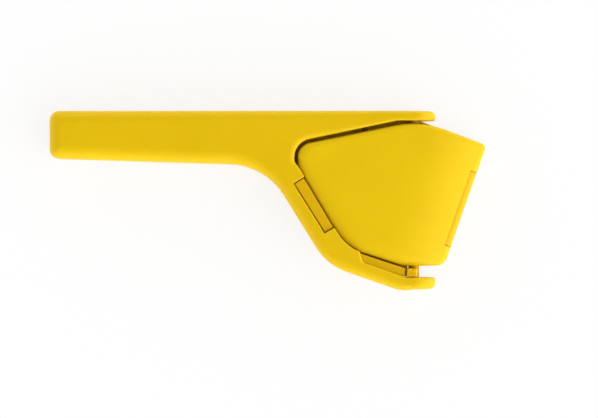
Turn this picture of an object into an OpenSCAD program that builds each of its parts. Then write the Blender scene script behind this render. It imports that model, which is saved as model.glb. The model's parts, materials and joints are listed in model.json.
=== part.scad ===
// Hinged lemon squeezer with two long handles, stored folded flat.
// The tool lies on its back: X runs from the grip end to the hinge end, Z points up out of the front.
// The origin is on the table under the middle of the folded tool.
// The front handle turns on two short pins at its ears. The press plate turns on a long pin
// along the slanted far edge, and the front handle lifts and lowers it by a drive pin.

/* [Overall] */
// Length of the folded tool
tool_l = 240; // [225:1:255]
// Width of the folded tool across the head
tool_w = 98.6; // [96:0.2:102]
// Thickness of the folded tool
tool_t = 24; // [22:0.5:26]
// Wall and skin thickness of the mouldings
wall = 2.4; // [2:0.1:2.8]
// Gap between the two folded handles
split_gap = 0.5; // [0.4:0.1:0.8]

/* [Grip] */
// Length of the grip, from its end to the bend of the neck
grip_l = 118.4; // [110:0.2:124]
// Width of the grip at its end
grip_end_w = 26.2; // [22:0.2:29]
// Width of the grip at the neck
grip_neck_w = 29.9; // [26:0.2:33]
// Corner radius of the grip end
grip_corner_r = 5.4; // [5:0.1:9]
// Round-over of the grip edges
grip_edge_r = 5; // [3:0.1:5]
// Bend radius of the neck
neck_r = 36; // [28:1:40]

/* [Head] */
// Distance from the neck bend to the chin, along the tool
chin_run = 34; // [31:0.5:36]
// Height of the chin bend above the lowest edge
chin_rise = 13.9; // [12:0.1:15]
// Bend radius of the chin
chin_r = 32; // [24:1:34]
// Round-over of the head's outer edges
head_edge_r = 3.5; // [2:0.1:4]
// Width of the rim between the outer edge and the catch notch
rim_w = 8; // [7:0.1:9]
// Length of the catch notch
notch_l = 32.4; // [26:0.2:34]
// Gap along the top of the press plate
reveal = 2; // [1.6:0.1:2.4]
// Overlap of the front handle's rim over the plate's lower edge
rim_lap = 1; // [0.6:0.1:1.4]

/* [Handle hinge] */
// Distance of the handle hinge from the far end of the tool
hinge_inset = 39.6; // [38:0.2:42]
// Radius of the ear discs
ear_r = 11.9; // [11:0.1:11.9]
// Thickness of the upper ear
ear_t = 5.4; // [4.6:0.1:6]
// Thickness of the lower ear, which is also the pouring lip
lip_ear_t = 7.1; // [6:0.1:7.6]
// Radius of the hinge posts
post_r = 3; // [2.8:0.1:3.4]
// Radius of the two hinge pins
hinge_pin_r = 1.75; // [1.4:0.05:1.9]
// Length of each hinge pin
hinge_pin_l = 7.6; // [6.8:0.2:8]

/* [Press plate] */
// Slant of the far edge and of the plate's hinge, from straight across
far_slant = 19.3; // [17:0.1:21]
// Radius of the plate's hinge barrel
barrel_r = 4.5; // [4:0.1:4.6]
// Radius of the plate's hinge pin
plate_pin_r = 1.5; // [1.2:0.05:1.8]
// Round-over of the plate's upper and left edges
plate_edge_r = 3; // [2:0.1:4]
// Round-over of the plate's lower left edge
plate_soft_r = 9; // [6:0.2:9]
// Radius of the plate's bend down to the far edge
plate_bend_r = 65; // [60:1:80]
// Number of pressing ribs
rib_count = 8; // [5:1:9]
// Depth of the plate's hollow left under the pressing ribs
rib_clear = 3; // [2.6:0.1:4]
// Distance of the ribs' ends from the plate's outline
rib_margin = 5; // [4.4:0.2:8]
// Radius of the drive pin
drive_pin_r = 1.5; // [1.3:0.05:1.7]
// Distance of the drive pin from the handle hinge
drive_arm = 27; // [25:0.5:28]

/* [Strainer] */
// Thickness of the strainer plate
strainer_t = 2.2; // [1.8:0.1:2.6]
// Height of the strainer's top face above the table
strainer_top = 9.6; // [9:0.1:10]
// Radius of the strainer holes
hole_r = 1.5; // [1.2:0.1:1.8]
// Spacing of the strainer holes
hole_pitch = 8; // [7:0.5:10]
// Width of the ledge that the strainer lies on
ledge_w = 2; // [1.6:0.1:2.4]

/* [Hidden] */
$fn = 48;

pin_clear = 0.05;        // radial running clearance of every pin
seat_gap = 0.3;          // gap between pieces that lie together
part_gap = 0.4;          // gap between pieces that move past each other
ear_gap = 0.9;           // gap round the ear discs
fillet_steps = 5;        // facets across a round-over
arc_step = 12;           // degrees per facet round an outline
cap_start = 90;          // outline point where the triangles of a plate's back face start
far = 400;               // longer than the tool

left_x = -tool_l / 2;
right_x = tool_l / 2;
top_y = tool_w / 2;
low_y = -tool_w / 2;
mid_z = tool_t / 2;
front_z = mid_z + split_gap / 2;     // back of the front handle
back_z = mid_z - split_gap / 2;      // front of the back handle

// Slanted far edge: far_n points out of it
far_n = [cos(far_slant), -sin(far_slant)];
corner_y = 30.5;                     // height of the far upper corner
corner_x = right_x + 0.44;           // before its small corner radius
function far_edge(y) = [corner_x - (corner_y - y) * tan(far_slant), y];

// Handle hinge axis and plate hinge axis
hinge_x = right_x - hinge_inset;
axis_mid = far_edge(0) - far_n * barrel_r;

// Neck and chin bends of the outer edge
neck = [left_x + grip_l, top_y - grip_neck_w];
chin = [neck[0] + chin_run, low_y + chin_rise];
spout = [hinge_x - 6.8, low_y - 0.48];
side_dir = unit(chin - neck);

// Ears and the posts that they turn on
pin_bite = 3.8;                      // how far each hinge pin reaches into its ear
ear_in_y = top_y - ear_t;
lip_in_y = low_y + lip_ear_t;
post_bore = hinge_pin_l - pin_bite + seat_gap;
lip_post_l = 8.7;
ear_post_l = 4.2;
ear_tip_x = hinge_x + 13.1;
lip_tip_x = hinge_x + 11.8;

// Plate outline: [x, y, corner radius, edge round-over]
plate_left_x = neck[0] + 19.1;
plate_top_slope = 0.2054;
function plate_top(x) = ear_in_y - 3.3 + plate_top_slope * (x - hinge_x + 14.2);
seam_top_y = 16.9;
seam_share = 0.378;                  // of the way from the plate's left edge to the handle hinge
seam_low = [plate_left_x + seam_share * (hinge_x - plate_left_x), lip_in_y + 18.2];
seam_dir = unit(seam_low - [plate_left_x, seam_top_y]);
seam_out = [seam_dir[1], -seam_dir[0]];
plate_pts = [
    [plate_left_x, seam_top_y, 8.4, plate_soft_r - 1],
    [seam_low[0], seam_low[1], 16, plate_soft_r],
    [hinge_x - 5.9, lip_in_y + 6.2, 12, plate_edge_r * 2],
    [far_edge(lip_in_y + 6.5)[0], lip_in_y + 6.5, 6, 2.5],
    [corner_x, corner_y, 2.8, 2],
    [hinge_x + 2.9, ear_in_y + 0.2, 50, plate_edge_r],
    [plate_left_x, plate_top(plate_left_x), 8, plate_edge_r]
];

// Front handle outline: grip, chin, lower ear, window round the plate, upper ear
window_left = plate_left_x - reveal - 0.3;
lap = -seam_out * rim_lap;
front_pts = [
    [left_x, top_y - grip_end_w, grip_corner_r, grip_edge_r],
    [neck[0], neck[1], neck_r, grip_edge_r],
    [chin[0], chin[1], chin_r, head_edge_r],
    [spout[0], spout[1], 20, head_edge_r],
    [lip_tip_x, low_y + 1.9, 2.2, 1.5],
    [lip_tip_x, lip_in_y, 1.8, 1],
    [hinge_x - 4.4, lip_in_y, 2, 1],
    [seam_low[0] + 10.2, lip_in_y + 8.6, 3, 1.5],
    [seam_low[0] + 5.8 + lap[0], seam_low[1] - 1.9 + lap[1], 1.2, 1],
    [seam_low[0] + lap[0], seam_low[1] + lap[1], 10, 1],
    [plate_left_x + lap[0], seam_top_y + lap[1], 3, 1.2],
    [window_left, seam_top_y + 2.4, 3, 1.6],
    [window_left, plate_top(window_left) + reveal, 10, 1.6],
    [hinge_x - 9.3, ear_in_y, 15, 1.2],
    [ear_tip_x, ear_in_y, 1.6, 1],
    [ear_tip_x, top_y - 1.9, 2.2, 1.5],
    [hinge_x - 4.4, top_y, 60, head_edge_r],
    [left_x, top_y, grip_corner_r, grip_edge_r]
];

// Back handle outline: the same handle, cut short of the ears, with the plate's far half
ear_cut_x = hinge_x - ear_r - ear_gap;
back_edge_r = 2;
spout_end_x = hinge_x - 3.9;
back_pts = [
    [left_x, top_y - grip_end_w, grip_corner_r, grip_edge_r],
    [neck[0], neck[1], neck_r, grip_edge_r],
    [chin[0], chin[1], chin_r, head_edge_r],
    [ear_cut_x, low_y + 1.6, 1.5, 1.2],
    [ear_cut_x, lip_in_y + part_gap, 1, 1],
    [spout_end_x, lip_in_y + part_gap, 1, 1],
    [spout_end_x, lip_in_y + 6.4, 1, 1],
    [far_edge(lip_in_y + 6.5)[0], lip_in_y + 6.5, 6, back_edge_r],
    [corner_x, corner_y, 2.8, back_edge_r],
    [hinge_x + 2.9, ear_in_y + 0.2, 50, back_edge_r],
    [ear_cut_x, plate_top(ear_cut_x), 1, 1],
    [ear_cut_x, top_y, 1.5, 1.2],
    [left_x, top_y, grip_corner_r, grip_edge_r]
];

// Tray inside the back handle, up to the plate's hinge block
tray_pts = [for (p = plate_pts) [p[0], p[1], p[2], 1]];
hinge_block = barrel_r + 2.5;

sump_way = 6.3;                      // width of the way from the sump into the channel

// Juice channel beside the tray, which cuts through the ledge into the sump near the spout
channel_pts = [
    [seam_low[0] + 4.2, lip_in_y + 18],
    [seam_low[0] + 10.2, lip_in_y + 8.6],
    [spout_end_x + 1, lip_in_y + part_gap + wall],
    [spout_end_x + 1, lip_in_y + lip_post_l + sump_way]
];

// Lip that bridges the channel, between the front handle's rim and the plate's lower edge
lip_floor = tool_t - 6;
lip_gap = 2 * part_gap;
lip_u = unit([plate_pts[2][0] - seam_low[0], plate_pts[2][1] - seam_low[1]]);
lip_n = [lip_u[1], -lip_u[0]];
lip_start = seam_low + lip_n * lip_gap + lip_u * 5;
lip_end = [plate_pts[2][0], plate_pts[2][1]] + lip_n * lip_gap + lip_u * 1.2;
lip_pts = [
    lip_start,
    [seam_low[0] + 9.5, lip_in_y + 6.7],
    [ear_cut_x - 1.1, lip_in_y + 1.2],
    [lip_end[0], lip_in_y + part_gap],
    lip_end
];

// Knuckles along the plate hinge: [start, end] measured from its middle
plate_knuckles = [[-34.5, -27.4], [16.4, 31]];
barrel_span = [-27, 16];
pin_span = [-33, 29.5];
lip_reach = 0.6;         // how far the plate's skin passes over the barrel's crown

// Drive pin and its slot in the front handle's rib
drive_x = hinge_x - drive_arm;
drive_z = mid_z + 5.5;
drive_pin_span = [plate_top(drive_x) - 4, top_y - wall - 1.4];
rib_y = [ear_in_y - 2, ear_in_y + 0.8];
slot_reach = [-11, 2.2];
slot_play = [-2.5, 0.9];

// Locating tongue of the back handle in the catch notch
tongue_clear = 1;
tongue_t = 3.9;
tongue_top = tool_t - 4;
notch_start = 16.7;                  // from the neck bend, down the side
notch_depth = 8;                     // from the rim to just past the window's edge

function unit(v) = v / norm(v);
function turn(v) = [v[1], -v[0]];    // outward normal of an anticlockwise edge

// Rounds the corners of [x, y, radius, edge] points and keeps the edge value at each new point
function corner_arc(a, b, c) =
    let (u = unit([b[0] - a[0], b[1] - a[1]]), v = unit([c[0] - b[0], c[1] - b[1]]),
         bend = atan2(u[0] * v[1] - u[1] * v[0], u * v),
         r = b[2], t = r * tan(abs(bend) / 2),
         steps = max(1, ceil(abs(bend) / arc_step)),
         side = sign(bend),
         centre = [b[0], b[1]] - u * t - turn(u) * r * side)
    [for (i = [0 : steps])
        let (w = bend * i / steps, n = turn(u) * side)
        [centre[0] + r * (n[0] * cos(w) - n[1] * sin(w)),
         centre[1] + r * (n[0] * sin(w) + n[1] * cos(w)), b[3]]];
function rounded(pts) = [for (i = [0 : len(pts) - 1])
    each corner_arc(pts[(i + len(pts) - 1) % len(pts)], pts[i], pts[(i + 1) % len(pts)])];
function flat_xy(pts) = [for (p = pts) [p[0], p[1]]];

// The same outline moved inwards by d, with its corner and edge radii to match
function inset(pts, d) = [for (i = [0 : len(pts) - 1])
    let (a = pts[(i + len(pts) - 1) % len(pts)], b = pts[i], c = pts[(i + 1) % len(pts)],
         u = unit([b[0] - a[0], b[1] - a[1]]), v = unit([c[0] - b[0], c[1] - b[1]]),
         m = turn(u) + turn(v), bend = sign(u[0] * v[1] - u[1] * v[0]),
         q = [b[0], b[1]] - m * d / (1 + turn(u) * turn(v)))
    [q[0], q[1], max(b[2] - bend * d, 0.3), max(b[3] - d, 0.2)]];

// Outward normal at each point of a closed anticlockwise loop
function normals(loop) = [for (i = [0 : len(loop) - 1])
    let (a = loop[(i + len(loop) - 1) % len(loop)], c = loop[(i + 1) % len(loop)])
    unit(turn([c[0] - a[0], c[1] - a[1]]))];

// Triangles that fill a loop of points p, whose corners left to fill are the indices in idx
function area2(a, b, c) = (b[0] - a[0]) * (c[1] - a[1]) - (b[1] - a[1]) * (c[0] - a[0]);
function within(p, a, b, c) = area2(a, b, p) >= 0 && area2(b, c, p) >= 0 && area2(c, a, p) >= 0;
function is_ear(p, idx, k) =
    let (n = len(idx), i = (k + n - 1) % n, j = (k + 1) % n, a = p[idx[i]], b = p[idx[k]], c = p[idx[j]])
    area2(a, b, c) > 0
    && len([for (m = [0 : n - 1]) if (m != i && m != k && m != j && within(p[idx[m]], a, b, c)) m]) == 0;
function find_ear(p, idx, k = 0) = k >= len(idx) - 1 || is_ear(p, idx, k) ? k : find_ear(p, idx, k + 1);
function fill(p, idx, done = []) = len(idx) < 3 ? done
    : let (n = len(idx), k = find_ear(p, idx), cut = [idx[(k + n - 1) % n], idx[k], idx[(k + 1) % n]])
      fill(p, [for (i = [0 : n - 1]) if (i != k) idx[i]], [each done, cut]);

// Plate whose front edge is rounded by each point's own edge radius
module rounded_plate(pts, z0, z1) {
    loop = rounded(pts);
    nrm = normals(loop);
    n = len(loop);
    rows = fillet_steps + 2;
    rings = [
        [for (p = loop) [p[0], p[1], z0]],
        for (j = [0 : fillet_steps])
            let (a = 90 * j / fillet_steps)
            [for (i = [0 : n - 1])
                let (e = loop[i][2], d = e * (1 - cos(a)))
                [loop[i][0] - nrm[i][0] * d, loop[i][1] - nrm[i][1] * d, z1 - e * (1 - sin(a))]]
    ];
    all = [for (i = [0 : n - 1]) i];
    top = (rows - 1) * n;
    polyhedron([for (r = rings) each r], concat(
        fill(rings[0], [for (i = [0 : n - 1]) (i + cap_start) % n]),
        [for (j = [0 : rows - 2], i = [0 : n - 1])
            [j * n + i, (j + 1) * n + i, (j + 1) * n + (i + 1) % n, j * n + (i + 1) % n]],
        [for (t = fill(rings[rows - 1], all)) [top + t[2], top + t[1], top + t[0]]]), convexity = 10);
}

// Everything below height z
module below(z) {
    translate([-far / 2, -far / 2, z - far]) cube(far);
}

// The same plate, rounded at its back
module rounded_plate_down(pts, z0, z1) {
    translate([0, 0, z0 + z1]) mirror([0, 0, 1]) rounded_plate(pts, z0, z1);
}

// Upright block over the outline
module outline_block(pts, z0, z1) {
    translate([0, 0, z0]) linear_extrude(z1 - z0) polygon(flat_xy(rounded(pts)));
}

// Cylinder along Y from y0 to y1
module y_cylinder(x, z, r, y0, y1) {
    translate([x, y1, z]) rotate([90, 0, 0]) cylinder(r = r, h = y1 - y0);
}

// Children in the plate hinge's frame: X out of the far edge, Y along it, Z up from the axis
module at_plate_hinge() {
    translate([axis_mid[0], axis_mid[1], mid_z]) rotate([0, 0, -far_slant]) children();
}

module hinge_cylinder(r, span) {
    at_plate_hinge() y_cylinder(0, 0, r, span[0], span[1]);
}

// Everything below the plate's bend, lowered by d, and on the tool side of the far edge.
// The bend's first facet runs on upwards, so that the flat front is left to the plate's own top.
module plate_profile(d, reach) {
    start = 4 - plate_bend_r * sin(30);
    top = tool_t - mid_z - d;
    r = plate_bend_r - d;
    step = 2.5;
    at_plate_hinge() translate([0, far / 2, 0]) rotate([90, 0, 0]) linear_extrude(far) polygon([
        [-far, -1], [-far, top + (far + start) * tan(step / 2)], for (a = [step : step : 60])
            let (x = start + r * sin(a), z = top - r * (1 - cos(a)))
            if (x < reach && z > -1) [x, z],
        [reach, top - r * (1 - cos(asin((reach - start) / r)))], [reach, -1]
    ]);
}

module head_side(x0, x1, y0, y1, z0, z1) {
    translate([x0, y0, z0]) cube([x1 - x0, y1 - y0, z1 - z0]);
}

// Block along the slanted side of the head, measured from the neck bend
module side_block(along0, along1, in0, in1, z0, z1) {
    angle = atan2(side_dir[1], side_dir[0]);
    translate([neck[0], neck[1], z0]) rotate([0, 0, angle])
        translate([along0, in0, 0]) cube([along1 - along0, in1 - in0, z1 - z0]);
}

module ear(y0, y1, tip_x) {
    intersection() {
        y_cylinder(hinge_x, mid_z, ear_r, y0, y1);
        translate([hinge_x - ear_r, y0, 0]) cube([tip_x - hinge_x + ear_r, y1 - y0, tool_t]);
    }
}

module front_handle() {
    color("gold") difference() {
        union() {
            difference() {
                rounded_plate(front_pts, front_z, tool_t);
                // hollow grip and rim, open at the back
                outline_block(inset(back_pts, wall), 0, tool_t - wall);
            }
            // rib that carries the drive pin
            head_side(drive_x + slot_reach[0] - 3, drive_x + slot_reach[1] + 3, rib_y[0], rib_y[1],
                      front_z, tool_t - wall + 0.2);
            // webs that join the rim to the ears
            head_side(ear_cut_x - 4, hinge_x - 6, ear_in_y, top_y - wall + 0.2, front_z, tool_t - wall);
            head_side(ear_cut_x - 1, hinge_x - 6, low_y + wall, lip_in_y + 0.2, front_z, tool_t - wall);
            ear(ear_in_y, top_y - 0.2, ear_tip_x);
            ear(low_y + 1, lip_in_y, lip_tip_x);
        }
        // the ears' fronts follow their discs
        difference() {
            head_side(hinge_x, right_x, low_y - 2, top_y + 2, 0, tool_t + 1);
            y_cylinder(hinge_x, mid_z, ear_r, low_y - 3, top_y + 3);
        }
        // room for the back handle's lip
        head_side(ear_cut_x - wall - 0.2, spout_end_x, lip_in_y + 0.2, lip_in_y + part_gap + wall + 0.1,
                  0, lip_floor + 2 * seat_gap);
        // catch notch, open to the window
        side_block(notch_start, notch_start + notch_l, rim_w, rim_w + notch_depth, 0, tool_t + 1);
        // blind pin holes in the ears
        y_cylinder(hinge_x, mid_z, hinge_pin_r + pin_clear, ear_in_y - 1, ear_in_y + pin_bite + seat_gap);
        y_cylinder(hinge_x, mid_z, hinge_pin_r + pin_clear, lip_in_y - pin_bite - seat_gap, lip_in_y + 1);
        // slot for the drive pin
        head_side(drive_x + slot_reach[0], drive_x + slot_reach[1], rib_y[0] - 1, rib_y[1] + 1,
                  drive_z + slot_play[0] - drive_pin_r, drive_z + slot_play[1] + drive_pin_r);
    }
}

module back_handle() {
    color("goldenrod") difference() {
        union() {
            difference() {
                rounded_plate_down(back_pts, 0, back_z);
                // hollow grip
                intersection() {
                    outline_block(inset(back_pts, wall), wall, tool_t);
                    head_side(left_x, plate_left_x - 6, low_y, top_y, 0, tool_t);
                }
                // tray: a ledge for the strainer and a sump below it
                tray(wall, strainer_top - strainer_t, tool_t);
                tray(wall + ledge_w, wall, tool_t);
                translate([0, 0, wall]) linear_extrude(tool_t) polygon(channel_pts);
            }
            // posts that carry the handle's hinge pins
            y_cylinder(hinge_x, mid_z, post_r, lip_in_y + seat_gap, lip_in_y + lip_post_l);
            y_cylinder(hinge_x, mid_z, post_r, ear_in_y - ear_post_l, ear_in_y - seat_gap);
            post_foot(lip_in_y + lip_post_l - wall, lip_in_y + lip_post_l);
            post_foot(ear_in_y - ear_post_l, ear_in_y - ear_post_l + wall);
            // hinge barrel of the press plate
            hinge_cylinder(barrel_r, barrel_span);
            // lip over the channel
            difference() {
                translate([0, 0, back_z - 1]) linear_extrude(lip_floor - back_z + 1) polygon(lip_pts);
                linear_extrude(lip_floor - wall) polygon(channel_pts);
            }
            // tongue that locates the front handle
            side_block(notch_start + tongue_clear, notch_start + notch_l - tongue_clear,
                       rim_w + tongue_clear, rim_w + tongue_clear + tongue_t, wall, tongue_top);
        }
        // room for the plate's knuckles
        hinge_cylinder(barrel_r + part_gap, [-far / 2, barrel_span[0]]);
        hinge_cylinder(barrel_r + part_gap, [barrel_span[1], far / 2]);
        // pin holes
        hinge_cylinder(plate_pin_r + pin_clear, pin_span);
        y_cylinder(hinge_x, mid_z, hinge_pin_r + pin_clear, lip_in_y, lip_in_y + post_bore);
        y_cylinder(hinge_x, mid_z, hinge_pin_r + pin_clear, ear_in_y - post_bore, ear_in_y);
    }
}

module post_foot(y0, y1) {
    head_side(hinge_x - post_r, hinge_x + post_r, y0, y1, wall, mid_z);
}

// Space over the tray, inset by d, from z0 to z1, short of the plate's hinge block
module tray(d, z0, z1) {
    intersection() {
        outline_block(inset(tray_pts, d), z0, z1);
        at_plate_hinge() translate([-far - hinge_block - d + wall, -far / 2, -far / 2]) cube(far);
    }
}

module press_plate() {
    color("khaki") difference() {
        union() {
            difference() {
                intersection() {
                    rounded_plate(plate_pts, front_z - 1, tool_t);
                    plate_profile(0, barrel_r);
                }
                below(front_z);
                // hollow behind the skin
                intersection() {
                    rounded_plate(inset(plate_pts, wall), 0, tool_t - wall);
                    plate_profile(wall, -barrel_r - wall);
                }
            }
            pressing_ribs();
            for (span = plate_knuckles) hinge_cylinder(barrel_r, span);
            y_cylinder(drive_x, drive_z, drive_pin_r + wall - 0.6, drive_pin_span[0] - 2,
                       plate_top(drive_x) - 0.5);
        }
        // the back handle's barrel and everything past the seam over it
        hinge_cylinder(barrel_r + seat_gap, [barrel_span[0] - part_gap, barrel_span[1] + part_gap]);
        at_plate_hinge() translate([lip_reach, barrel_span[0] - part_gap, -mid_z])
            cube([barrel_r * 2, barrel_span[1] - barrel_span[0] + 2 * part_gap, tool_t]);
        hinge_cylinder(plate_pin_r + pin_clear, [pin_span[0] - 4, pin_span[1]]);
        // notches over the hinge posts
        post_notch(lip_in_y, lip_in_y + 9.4);
        post_notch(ear_in_y - 5.4, ear_in_y);
        y_cylinder(drive_x, drive_z, drive_pin_r, drive_pin_span[0], top_y);
    }
}

module post_notch(y0, y1) {
    room = post_r + part_gap;
    head_side(hinge_x - room, hinge_x + room, y0, y1, 0, mid_z + room);
}

// Ribs across the plate's hollow that press the fruit
module pressing_ribs() {
    crest_z = mid_z + rib_clear;
    first_y = lip_in_y + 12;
    pitch = (ear_in_y - 8 - first_y) / (rib_count - 1);
    intersection() {
        union() for (i = [0 : rib_count - 1])
            let (y = first_y + i * pitch)
            head_side(left_x, hinge_x + 14, y - wall / 2, y + wall / 2, crest_z, tool_t);
        outline_block(inset(plate_pts, rib_margin), 0, tool_t - wall / 2);
        plate_profile(wall / 2, -barrel_r - wall);
    }
}

module strainer_plate() {
    color("lightyellow") difference() {
        tray(wall + seat_gap, strainer_top - strainer_t, strainer_top);
        for (x = [plate_left_x : hole_pitch : right_x], y = [low_y : hole_pitch : top_y])
            if (in_field([x, y])) translate([x, y, 0]) cylinder(r = hole_r, h = tool_t, $fn = 20);
    }
}

// True where a strainer hole keeps its margin from the plate's outline
function in_field(p) = min([for (i = [0 : len(plate_pts) - 1])
    let (a = plate_pts[i], b = plate_pts[(i + 1) % len(plate_pts)],
         n = unit(turn([b[0] - a[0], b[1] - a[1]])))
    [a[0] - p[0], a[1] - p[1]] * n]) > wall + 2 * ledge_w + 2 * hole_r
    && (axis_mid - p) * far_n > hinge_block + 2 * ledge_w + hole_r;

module upper_hinge_pin() {
    end_y = ear_in_y + pin_bite;
    color("silver") y_cylinder(hinge_x, mid_z, hinge_pin_r, end_y - hinge_pin_l, end_y);
}

module lower_hinge_pin() {
    end_y = lip_in_y - pin_bite;
    color("silver") y_cylinder(hinge_x, mid_z, hinge_pin_r, end_y, end_y + hinge_pin_l);
}

module plate_hinge_pin() {
    color("silver") hinge_cylinder(plate_pin_r, [pin_span[0], pin_span[1] - seat_gap]);
}

module drive_pin() {
    color("silver") y_cylinder(drive_x, drive_z, drive_pin_r, drive_pin_span[0], drive_pin_span[1]);
}

back_handle();
front_handle();
press_plate();
strainer_plate();
upper_hinge_pin();
lower_hinge_pin();
plate_hinge_pin();
drive_pin();
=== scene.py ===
"""Looks of a hinged lemon squeezer: moulded handles, press plate, strainer and pins."""
import json
import math

import bmesh
import bpy
import numpy as np
from bpy.props import FloatProperty, FloatVectorProperty, IntProperty, PointerProperty
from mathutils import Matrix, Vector
from mathutils.geometry import delaunay_2d_cdt


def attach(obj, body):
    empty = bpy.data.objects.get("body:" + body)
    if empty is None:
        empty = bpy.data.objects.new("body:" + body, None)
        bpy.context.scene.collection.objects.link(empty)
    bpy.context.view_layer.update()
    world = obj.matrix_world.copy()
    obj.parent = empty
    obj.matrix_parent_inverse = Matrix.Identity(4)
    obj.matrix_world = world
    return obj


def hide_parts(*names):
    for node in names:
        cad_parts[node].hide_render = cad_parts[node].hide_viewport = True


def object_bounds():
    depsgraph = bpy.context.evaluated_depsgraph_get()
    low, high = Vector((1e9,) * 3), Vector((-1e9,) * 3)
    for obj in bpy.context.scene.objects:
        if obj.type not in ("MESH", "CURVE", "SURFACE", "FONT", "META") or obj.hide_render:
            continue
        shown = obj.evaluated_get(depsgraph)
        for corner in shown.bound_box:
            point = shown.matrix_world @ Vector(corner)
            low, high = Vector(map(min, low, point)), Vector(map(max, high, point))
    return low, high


bl_info = {
    "name": "Hinged Lemon Squeezer",
    "version": (1, 0, 0),
    "blender": (4, 5, 0),
    "location": "View3D > Sidebar > Squeezer",
    "description": "Builds the mouldings, materials and stage of a hinged lemon squeezer",
    "category": "Object",
}

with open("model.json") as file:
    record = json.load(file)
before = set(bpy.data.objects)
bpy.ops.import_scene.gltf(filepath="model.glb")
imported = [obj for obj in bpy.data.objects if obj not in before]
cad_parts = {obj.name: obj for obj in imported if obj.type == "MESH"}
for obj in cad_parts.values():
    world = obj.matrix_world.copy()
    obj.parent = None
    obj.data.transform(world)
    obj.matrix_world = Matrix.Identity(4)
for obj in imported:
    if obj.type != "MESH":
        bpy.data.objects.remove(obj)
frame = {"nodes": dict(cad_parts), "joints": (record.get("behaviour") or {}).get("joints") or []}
CAD_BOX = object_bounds()
NODES = frame["nodes"]


# ---------------------------------------------------------------- places, in millimetres

def joint_place(name):
    """Point and direction of a joint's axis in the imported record."""
    joint = next(j for j in frame["joints"] if j["name"] == name)
    return np.array(joint["pos_m"]) * 1000, np.array(joint["axis"], float)


(LEFT, LOW, _), (_, TOP, THICK) = (np.round(np.array(c) * 1000, 1) for c in CAD_BOX)
HINGE_MID, Y_AXIS = joint_place("handle_hinge")
PLATE_MID, PLATE_AXIS = joint_place("plate_hinge")
HINGE_X, MID = HINGE_MID[0], HINGE_MID[2]
HINGE_POINT = HINGE_X, 0, MID
AXIS_MID, FAR_U = PLATE_MID[:2], PLATE_AXIS[:2]
FAR_N = np.array([FAR_U[1], -FAR_U[0]])

SPLIT = 0.25                            # half the gap between the folded handles
RIM = MID + SPLIT                       # back of the front handle and of the press plate
BARREL_R = 4.5
CORNER = np.array([120.44, 30.5])       # far upper corner, before it is rounded
EAR_IN, LIP_IN = TOP - 5.4, LOW + 7.1   # inner faces of the upper and the lower ear
NECK = np.array([LEFT + 118.4, TOP - 29.9])
CHIN = np.array([NECK[0] + 34.0, LOW + 13.9])
SEAM_TOP = np.array([NECK[0] + 18.0, 18.9])
SEAM_LOW = np.array([42.6, LIP_IN + 16.8])
PLATE_TIP = np.array([HINGE_X - 5.9, LIP_IN + 6.2])
CUT_X = HINGE_X - 12.8                  # where the back handle's rim stops before the ears
SPOUT_X = HINGE_X - 3.1
LIP_Z = THICK - 2.5
PLATE_SLOPE = 0.2054                    # rise of the plate's upper edge towards the far end
DRIVE_X, DRIVE_Z = HINGE_X - 27, MID + 5.5
SLOT_X = DRIVE_X - 11, DRIVE_X + 2.2    # slot of the drive pin, along and up
SLOT_Z = DRIVE_Z - 4.0, DRIVE_Z + 2.4
PIN_BORE_R, PIN_BITE = 1.8, 4.1         # bores of the ear pins, and how deep they go into the ears
POST_R, POST_GAP = 3.0, 0.3             # posts that carry the ear pins, and their gap to the ears
LOWER_POST, UPPER_POST = 8.7, 4.2       # how far the posts reach from the ears' inner faces
POST_ROOM = 3.4                         # room cut for a post in the plate, each way from its axis
BARREL_ENDS = -27, 16                   # along the plate's axis, from its point in the record
KNUCKLE_ENDS = -34.5, 31.0
KNUCKLE_GAP = 0.2
LEDGE_Z = 7.4                           # height of the ledge that the strainer lies on
STRAINER_ROOM = 0.55                    # room all round the strainer in the tray
ARC_STEPS, LINE_STEPS = 10, 6           # steps round a corner, and points along a side
SIDE = (CHIN - NECK) / np.linalg.norm(CHIN - NECK)
SIDE_IN = np.array([-SIDE[1], SIDE[0]])
CLEAR = 0.01                            # softness of an edge that stays square


def mm(metres):
    """A length of the settings, in millimetres."""
    return metres * 1000


def linear(screen):
    """Screen colour from 0 to 255 as linear light: the standard curve, straight near black."""
    c = np.asarray(screen, float) / 255
    return tuple(np.where(c <= 0.04045, c / 12.92, ((c + 0.055) / 1.055) ** 2.4))


def length(name, description, default):
    """Setting of a length."""
    return FloatProperty(name=name, description=description, default=default, min=0.0001,
                         precision=4, subtype="DISTANCE", unit="LENGTH")


def share(name, description, default, high=1.0):
    """Setting of a plain amount from nought up."""
    return FloatProperty(name=name, description=description, default=default, min=0.0, max=high)


def tint(name, description, screen):
    """Setting of a colour, given as it shows on screen."""
    return FloatVectorProperty(name=name, description=description, default=linear(screen),
                               size=3, min=0.0, max=1.0, subtype="COLOR")


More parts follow.
